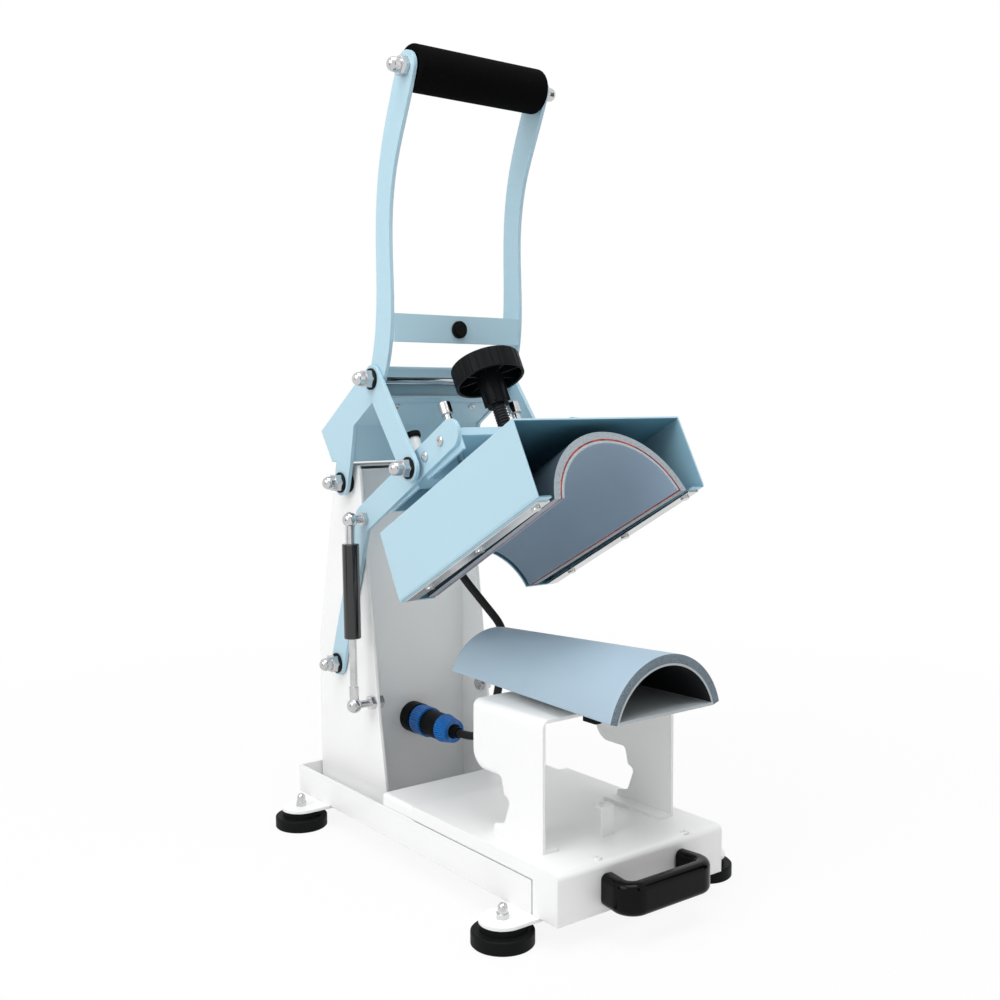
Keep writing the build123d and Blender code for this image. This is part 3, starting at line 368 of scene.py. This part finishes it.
# Gas spring: its tube is drawn steel in gloss black, hinged on a stud of the left arm. The polished rod
# below it is hinged on the tower.

spring_black = Finish("spring_black", Roughness=0.16, Coat_Weight=0.4)
spring_black.feed(
    Base_Color=spring_black.mix(spring_black.noise(30.0, 3.0), (0.006, 0.006, 0.007), (0.013, 0.013, 0.014))
)
spring_black.bump(spring_black.noise(300.0, 2.0), 0.05, 0.0002, spring_black.rounded(0.0008))
dress(spring_black.material, "spring_tube")


# Heater stack: a backing arch of pressed fibre board, painted near black outside as painted shade
# under the cover, and pale grey with specks at its cut ends, over a red silicone heating mat.

backing_foot_turn = -0.98
backing = Finish("backing_board")
backing_speck = backing.noise(1500.0, 4.0, 0.7)
backing_cloud = backing.noise(22.0, 4.0)
backing_cut = abs(backing.facing(press_back)) > turned_share
backing_foot = backing.facing(press_up) < backing_foot_turn
end_grey = backing.mix((backing_speck > 0.55) * 0.8, (0.36, 0.41, 0.45), (0.09, 0.11, 0.13))
# Near black outer face: painted shade deep inside the cover.
face_painted_shade = backing.mix(backing_cloud, (0.03, 0.05, 0.07), (0.05, 0.08, 0.11))
backing.feed(
    Base_Color=backing.mix(backing_cut + backing_foot, face_painted_shade, end_grey),
    Roughness=0.6 + 0.2 * backing_cloud,
)
backing.bump(backing_speck, 0.3, 0.0003)
dress(backing.material, "upper_form")

heater_red = Finish("heater_red")
heater_cloud = heater_red.noise(170.0, 5.0)
heater_red.feed(
    Base_Color=heater_red.mix((heater_cloud > 0.5) * 0.8, (0.40, 0.05, 0.02), (0.13, 0.03, 0.02)),
    Roughness=0.55 + 0.2 * heater_cloud,
)
heater_red.bump(heater_red.noise(700.0, 4.0), 0.6, 0.0006)
dress(heater_red.material, "heater_mat")


# Lower form: a thin rolled arch on a flat plate. The rolled sheet is bare at its rim and painted near
# black inside as painted shade in the hollow, and the plate is painted blue grey, darkening to near
# black towards the back as painted shade.

form_metal = Finish("form_metal")
form_cloud = form_metal.noise(20.0, 4.0)
form_plate_top = 0.1958
form_plate_edge = -0.236
# Rate at which the plate darkens towards the back, a painted shade.
form_shade_fade = 28.0
form_above = form_metal.along((0.0, 0.0, 1.0)) > form_plate_top
form_upward = form_metal.facing((0.0, 0.0, 1.0))
form_cut_end = abs(form_metal.facing((0.0, 1.0, 0.0)))
# Inner walls of the hollow, painted near black as painted shade.
form_hollow_shade = form_above * (form_upward < 0.05) * (form_cut_end < 0.5)
form_plate = form_above * (form_upward > 0.9)
form_bare = form_metal.mix(form_cloud, (0.40, 0.45, 0.47), (0.48, 0.53, 0.55))
form_shade_depth = (form_metal.along((0.0, 1.0, 0.0)) - form_plate_edge) * form_shade_fade
# Blue grey plate paint fading into painted shade towards the back.
form_plate_paint_and_shade = form_metal.mix(form_shade_depth, (0.11, 0.17, 0.21), (0.006, 0.011, 0.014))
form_open = form_metal.mix(form_plate, form_bare, form_plate_paint_and_shade)
# The hollow walls take a near black painted shade.
form_metal.feed(
    Base_Color=form_metal.mix(form_hollow_shade, form_open, (0.006, 0.008, 0.01)),
    Roughness=0.5 + 0.15 * form_cloud,
)
form_metal.bump(form_metal.noise(900.0, 3.0), 0.2, 0.0003)
dress(form_metal.material, "lower_form")


# Clamp strips: bright rolled steel, screwed along the cover hems to hold the heater stack. The nut of the
# pressure screw, in the front bridge of the arms, is blackened steel.

dress(bright_metal("strip_steel", (0.80, 0.81, 0.81), 0.2, 35.0), "clamp_strips")
black_steel = Finish("black_steel", Metallic=0.7)
black_steel_cloud = black_steel.noise(60.0, 4.0)
black_steel.feed(
    Base_Color=black_steel.mix(black_steel_cloud, (0.01, 0.01, 0.011), (0.03, 0.03, 0.032)),
    Roughness=0.3 + 0.2 * black_steel_cloud,
)
black_steel.bump(black_steel.noise(500.0, 2.0), 0.15, 0.0002)
dress(black_steel.material, "pressure_nut")


# Pressure screw: a blackened bar with a rolled thread of 3 mm pitch, from the thrust cup on the cover
# up to the hub of the hand knob.

screw_foot = 0.3192
screw_head = 0.3955
screw_row = -0.2325
screw_outer = 0.0074
thread_depth = 0.0011
thread_pitch = 0.003


def press_point(x, y, z):
    """Point of the tilted press frame in the frame of the whole press."""
    turned_y = cos(press_turn) * y + sin(press_turn) * z
    return x, floor_shift + turned_y, cos(press_turn) * z - sin(press_turn) * y


def outward_and_smooth(angle):
    """Turns the faces of the active piece outwards, and smooths what bends less than an angle."""
    bpy.ops.object.mode_set(mode="EDIT")
    bpy.ops.mesh.select_all(action="SELECT")
    bpy.ops.mesh.normals_make_consistent(inside=False)
    bpy.ops.object.mode_set(mode="OBJECT")
    bpy.ops.object.shade_smooth_by_angle(angle=radians(angle))


bpy.ops.object.select_all(action="DESELECT")
bpy.ops.mesh.primitive_grid_add(x_subdivisions=48, y_subdivisions=250, size=2)
thread = bpy.context.object
thread.name = "pressure_thread"
for vertex in thread.data.vertices:
    turn = pi * (vertex.co.x + 1)
    height = screw_foot + (screw_head - screw_foot) * (vertex.co.y + 1) / 2
    phase = (height / thread_pitch - turn / (2 * pi)) % 1.0
    flank = min(1.0, abs(2 * phase - 1) * 1.5)
    radius = screw_outer - thread_depth * flank
    vertex.co = press_point(radius * cos(turn), screw_row + radius * sin(turn), height)
bpy.ops.object.mode_set(mode="EDIT")
bpy.ops.mesh.select_all(action="SELECT")
bpy.ops.mesh.remove_doubles(threshold=0.00002)
bpy.ops.mesh.select_all(action="SELECT")
bpy.ops.mesh.fill_holes(sides=0)
bpy.ops.object.mode_set(mode="OBJECT")
outward_and_smooth(50)
thread.data.materials.append(black_steel.material)
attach(thread, "knob_body")
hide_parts("pressure_screw")


# Heater plug on the tower web: black moulded body with two coupling rings in blue plastic, ribbed
# along their length for the fingers.

ring_centre = 0.109
ring_ribs = 36
ring_groove_shade = -0.35
ring_blue = Finish("ring_blue", Roughness=0.32)
ring_height = ring_blue.along((0.0, 0.0, 1.0)) - ring_centre
ring_angle = ring_height.joined("ARCTAN2", ring_height, ring_blue.along((1.0, 0.0, 0.0)))
ring_wave = ring_angle.joined("SINE", ring_angle * float(ring_ribs), 0.0)
ring_cloud = ring_blue.noise(60.0, 3.0)
ring_deep = ring_blue.mix(ring_cloud, (0.0, 0.17, 0.62), (0.0, 0.23, 0.78))
# Grooves between the ribs are painted darker blue as painted shade.
ring_blue.feed(Base_Color=ring_blue.mix((ring_wave < ring_groove_shade) * 0.6, ring_deep, (0.0, 0.05, 0.22)))
ring_blue.bump(ring_wave, 0.8, 0.0008)
dress(ring_blue.material, "lead_rings")


# Heater lead: a round rubber cable from the plug up behind the platens to the gland on the arms.

lead_route = (
    (0.0, 0.064, 0.109),
    (0.0, 0.038, 0.109),
    (0.002, 0.016, 0.115),
    (0.006, 0.001, 0.139),
    (0.010, -0.003, 0.170),
    (0.020, 0.001, 0.200),
    (0.028, 0.012, 0.226),
    (0.015, 0.025, 0.249),
    (-0.002, 0.038, 0.276),
)
lead_route = [(x, floor_shift + y, z) for x, y, z in lead_route]
gland_row = (-0.0075, -0.096)
lead_route += [press_point(*gland_row, 0.278), press_point(*gland_row, 0.296)]
lead_thickness = 0.0085

lead_curve = bpy.data.curves.new("heater_lead", "CURVE")
lead_curve.dimensions = "3D"
lead_line = lead_curve.splines.new("NURBS")
lead_line.points.add(len(lead_route) - 1)
for point, place in zip(lead_line.points, lead_route):
    point.co = (*place, 1.0)
lead_line.order_u = 3
lead_line.use_endpoint_u = True
lead_line.resolution_u = 12
lead_curve.use_fill_caps = True
lead = bpy.data.objects.new("heater_lead", lead_curve)
bpy.context.scene.collection.objects.link(lead)
lead_path = [tuple(vertex.co) for vertex in bpy.data.meshes.new_from_object(lead).vertices]
lead_curve.bevel_depth = lead_thickness / 2
lead_curve.bevel_resolution = 8
bpy.ops.object.select_all(action="DESELECT")
lead.select_set(True)
bpy.context.view_layer.objects.active = lead
bpy.ops.object.convert(target="MESH")
lead = bpy.context.object
bpy.ops.object.shade_smooth()

lead_jacket = Finish("lead_jacket", Specular_IOR_Level=0.2)
jacket_grain = lead_jacket.noise(900.0, 3.0)
lead_jacket.feed(
    Base_Color=lead_jacket.mix(lead_jacket.noise(40.0, 3.0), (0.005, 0.005, 0.006), (0.014, 0.014, 0.015)),
    Roughness=0.36 + 0.15 * jacket_grain,
)
lead_jacket.bump(jacket_grain, 0.2, 0.0002)
lead.data.materials.clear()
lead.data.materials.append(lead_jacket.material)
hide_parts("lead")
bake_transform(lead)


# Soft faces of the two platens: sponge silicone sheets bonded over the arches, grey blue with open
# pores at the cut edges. Each is a bent sheet that narrows towards the back.

lower_pad_front = floor_shift - 0.2555
lower_pad_back = floor_shift - 0.010
lower_pad_foot = 0.193
lower_pad_sizes = ((0.066, 0.053), (0.054, 0.0405))
lower_pad_thickness = 0.008


def arc_point(half_width, rise, share):
    """Point of a circular arch, from -1 at its left foot to 1 at its right foot."""
    radius = (half_width**2 + rise**2) / (2 * rise)
    reach = asin(min(1.0, half_width / radius))
    if rise > radius:
        reach = pi - reach
    turn = reach * share
    return radius * sin(turn), rise - radius * (1 - cos(turn))


def shaped(piece, name, kind, **settings):
    """Adds a modifier to the active piece and applies it."""
    modifier = piece.modifiers.new(name, kind)
    for setting, value in settings.items():
        setattr(modifier, setting, value)
    bpy.ops.object.modifier_apply(modifier=modifier.name)


def round_rims(piece, width, segments):
    """Rounds the sharp cut edges of a piece."""
    shaped(
        piece,
        "rim",
        "BEVEL",
        width=width,
        segments=segments,
        limit_method="ANGLE",
        angle_limit=radians(50),
    )


def arched_sheet(name, section, thickness):
    """Bent sheet whose inner face is given by section(across, along), thickened outwards."""
    bpy.ops.object.select_all(action="DESELECT")
    bpy.ops.mesh.primitive_grid_add(x_subdivisions=64, y_subdivisions=40, size=2)
    sheet = bpy.context.object
    sheet.name = name
    for vertex in sheet.data.vertices:
        vertex.co = section(vertex.co.x, (vertex.co.y + 1) / 2)
    shaped(sheet, "wall", "SOLIDIFY", thickness=thickness, offset=1.0, use_even_offset=True)
    round_rims(sheet, 0.0006, 2)
    outward_and_smooth(40)
    return sheet


def lower_pad_section(across, along):
    """Point on the underside of the lower pad."""
    front, back = lower_pad_sizes
    half_width = front[0] + (back[0] - front[0]) * along - lower_pad_thickness
    rise = front[1] + (back[1] - front[1]) * along - lower_pad_thickness
    x, z = arc_point(half_width, rise, across)
    return x, lower_pad_front + (lower_pad_back - lower_pad_front) * along, lower_pad_foot + z


sponge = Finish("sponge_silicone")
sponge_cloud = sponge.noise(12.0, 3.0)
sponge_pore = sponge.noise(1900.0, 3.0, 0.7)
sponge_body = sponge.mix(sponge_cloud, (0.33, 0.44, 0.53), (0.38, 0.50, 0.59))
sponge_cut = abs(sponge.facing((0.0, 1.0, 0.0))) > turned_share
sponge_end = sponge.mix((sponge_pore > 0.5) * 0.8, (0.20, 0.26, 0.31), (0.06, 0.08, 0.10))
sponge.feed(
    Base_Color=sponge.mix(sponge_cut, sponge_body, sponge_end),
    Roughness=0.5 + 0.15 * sponge_pore,
)
sponge.bump(sponge_pore, 0.18, 0.0003)

lower_face = arched_sheet("lower_pad_face", lower_pad_section, lower_pad_thickness)
lower_face.data.materials.append(sponge.material)
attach(lower_face, "drawer_body")
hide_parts("lower_pad")

upper_face_front = -0.3558
upper_face_back = -0.121
upper_face_foot = 0.2405
upper_face_sizes = ((0.0675, 0.0505), (0.0585, 0.0485))
upper_face_thickness = 0.003


def upper_face_section(across, along):
    """Point on the working face of the upper sponge sheet."""
    front, back = upper_face_sizes
    half_width = front[0] + (back[0] - front[0]) * along
    rise = front[1] + (back[1] - front[1]) * along
    x, z = arc_point(half_width, rise, across)
    y = upper_face_front + (upper_face_back - upper_face_front) * along
    return press_point(x, y, upper_face_foot + z)


silicone = Finish("face_silicone")
silicone_cloud = silicone.noise(10.0, 3.0)
silicone_grain = silicone.noise(1500.0, 3.0, 0.6)
silicone_cut = abs(silicone.facing(press_back)) > turned_share
silicone_body = silicone.mix(silicone_cloud, (0.22, 0.30, 0.39), (0.26, 0.35, 0.44))
silicone_end = silicone.mix((silicone_grain > 0.55) * 0.6, (0.42, 0.48, 0.53), (0.12, 0.15, 0.18))
silicone.feed(
    Base_Color=silicone.mix(silicone_cut, silicone_body, silicone_end),
    Roughness=0.5 + 0.15 * silicone_grain,
)
silicone.bump(silicone_grain, 0.15, 0.0003)

upper_face = arched_sheet("upper_pad_face", upper_face_section, upper_face_thickness)
upper_face.data.materials.append(silicone.material)
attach(upper_face, "platen")
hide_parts("upper_felt")


# Grip: a sleeve of closed foam with rounded ends and a dull open skin, pushed over the steel tube
# between the bars of the lever.

grip_place = (0.0, floor_shift + 0.0184, 0.7835)
grip_outer = 0.0225
grip_inner = 0.0142
grip_length = 0.156
bpy.ops.object.select_all(action="DESELECT")
bpy.ops.mesh.primitive_cylinder_add(
    vertices=96,
    radius=grip_outer,
    depth=grip_length,
    end_fill_type="NOTHING",
    location=grip_place,
    rotation=(0, pi / 2, 0),
)
grip = bpy.context.object
grip.name = "grip_sleeve"
bpy.ops.object.transform_apply(location=True, rotation=True, scale=True)
shaped(grip, "wall", "SOLIDIFY", thickness=grip_outer - grip_inner, offset=-1.0)
round_rims(grip, 0.003, 4)
outward_and_smooth(40)

foam = Finish("grip_foam_black", Specular_IOR_Level=0.02)
foam_pore = foam.noise(1300.0, 4.0, 0.7)
foam_cloud = foam.noise(30.0, 3.0)
foam.feed(
    Base_Color=foam.mix(foam_pore, (0.001, 0.001, 0.001), (0.006, 0.006, 0.0065)),
    Roughness=0.78 + 0.15 * foam_cloud,
)
foam.bump(foam_pore + 0.5 * foam.noise(300.0, 3.0), 0.55, 0.0005)
grip.data.materials.append(foam.material)
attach(grip, "lever")
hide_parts("grip_foam")


# Floor and light: a pale floor that reads as white to the eye, one broad soft lamp from the left, a
# smaller one above and a low fill from the front. Three dark cards give polished metal its contrast.

bpy.ops.object.select_all(action="DESELECT")
bpy.ops.mesh.primitive_plane_add(size=12, location=(0, 0, 0))
floor = bpy.context.object
floor.name = "studio_floor"


def seen_directly(finish):
    """1 for what the eye or a polished surface sees, and 0 for the light that falls on a matt one."""
    eye = finish.node("ShaderNodeLightPath", {}, {}, "Is Camera Ray")
    polish = finish.node("ShaderNodeLightPath", {}, {}, "Is Glossy Ray")
    return eye.joined("MAXIMUM", eye, polish)


floor_look = Finish("studio_floor", Base_Color=(0.8, 0.8, 0.8, 1.0), Roughness=0.9)
floor_reach = floor_look.node(
    "ShaderNodeVectorMath",
    {"operation": "LENGTH"},
    {0: floor_look.place},
    "Value",
)
floor_fade = floor_look.node(
    "ShaderNodeMapRange",
    {},
    {"Value": floor_reach, "From Min": 0.35, "From Max": 1.3, "To Min": 0.9, "To Max": 1.0},
)
floor_matt = Term(floor_look, floor_look.shader.outputs[0])
floor_white = floor_look.node("ShaderNodeEmission", {}, {"Color": (1.0, 1.0, 1.0, 1.0)})
floor_mix = floor_look.node(
    "ShaderNodeMixShader",
    {},
    {0: floor_fade * seen_directly(floor_look), 1: floor_matt, 2: floor_white},
)
floor_look.tree.links.new(floor_mix.socket, floor_look.tree.nodes["Material Output"].inputs["Surface"])
floor.data.materials.append(floor_look.material)


class Sky(Finish):
    """White light from all round, fed by the same kinds of nodes as a finish."""

    def __init__(self, world):
        world.use_nodes = True
        self.tree = world.node_tree
        self.shader = self.tree.nodes["Background"]
        self.shader.inputs["Color"].default_value = (1.0, 1.0, 1.0, 1.0)


world = bpy.data.worlds.new("studio")
bpy.context.scene.world = world
sky = Sky(world)
sky.feed(Strength=0.5 + 0.5 * seen_directly(sky))


def facing_turn(place, aim):
    """Turn of a lamp or a card at a place that faces a point of the press."""
    return (Vector(aim) - Vector(place)).to_track_quat("-Z", "Y").to_euler()


def lamp(name, place, aim, size, power):
    """Square soft lamp that faces a point of the press."""
    light = bpy.data.lights.new(name, "AREA")
    light.energy = power
    light.size = size
    holder = bpy.data.objects.new(name, light)
    bpy.context.scene.collection.objects.link(holder)
    holder.location = place
    holder.rotation_euler = facing_turn(place, aim)


lamp("key", (-2.5, -0.2, 1.8), (0, 0, 0.35), 1.8, 35)
lamp("top", (-0.3, -0.5, 2.6), (0, 0, 0.2), 1.6, 38)
lamp("fill", (0.9, -2.6, 0.9), (0, 0, 0.4), 1.6, 1.5)


card_black = Finish("card_black", Base_Color=(0.004, 0.004, 0.004, 1.0))


def dark_card(name, place, aim, width, height):
    """Black screen that only reflections show, so that polished parts have contrast."""
    bpy.ops.object.select_all(action="DESELECT")
    bpy.ops.mesh.primitive_plane_add(size=1, location=place)
    card = bpy.context.object
    card.name = name
    card.scale = (width, height, 1)
    card.rotation_euler = facing_turn(place, aim)
    card.data.materials.append(card_black.material)
    card.visible_camera = False
    card.visible_diffuse = False
    card.visible_shadow = False


dark_card("card_right", (1.3, -1.0, 0.5), (0, 0, 0.5), 0.7, 1.8)
dark_card("card_front", (-0.2, -1.9, 0.5), (0, 0, 0.5), 0.35, 1.8)
dark_card("card_left", (-1.9, 0.3, 0.3), (0, 0, 0.4), 0.4, 1.6)


# Camera: in front and to the left of the press, level with its middle, turned down by a few degrees
# and rolled by a small part of one.

camera_data = bpy.data.cameras.new("camera")
camera_data.lens = 42.85
camera_data.sensor_width = 36.0
camera = bpy.data.objects.new("camera", camera_data)
bpy.context.scene.collection.objects.link(camera)
camera_place = Matrix.Translation((-0.7205, floor_shift - 0.9686, 0.4595))
camera_heading = Matrix.Rotation(radians(-37.21), 4, "Z")
camera_pitch = Matrix.Rotation(radians(90 - 4.58), 4, "X")
camera_roll = Matrix.Rotation(-0.0048, 4, "Z")
camera.matrix_world = camera_place @ camera_heading @ camera_pitch @ camera_roll
bpy.context.scene.camera = camera
bpy.context.scene.view_settings.view_transform = "Standard"
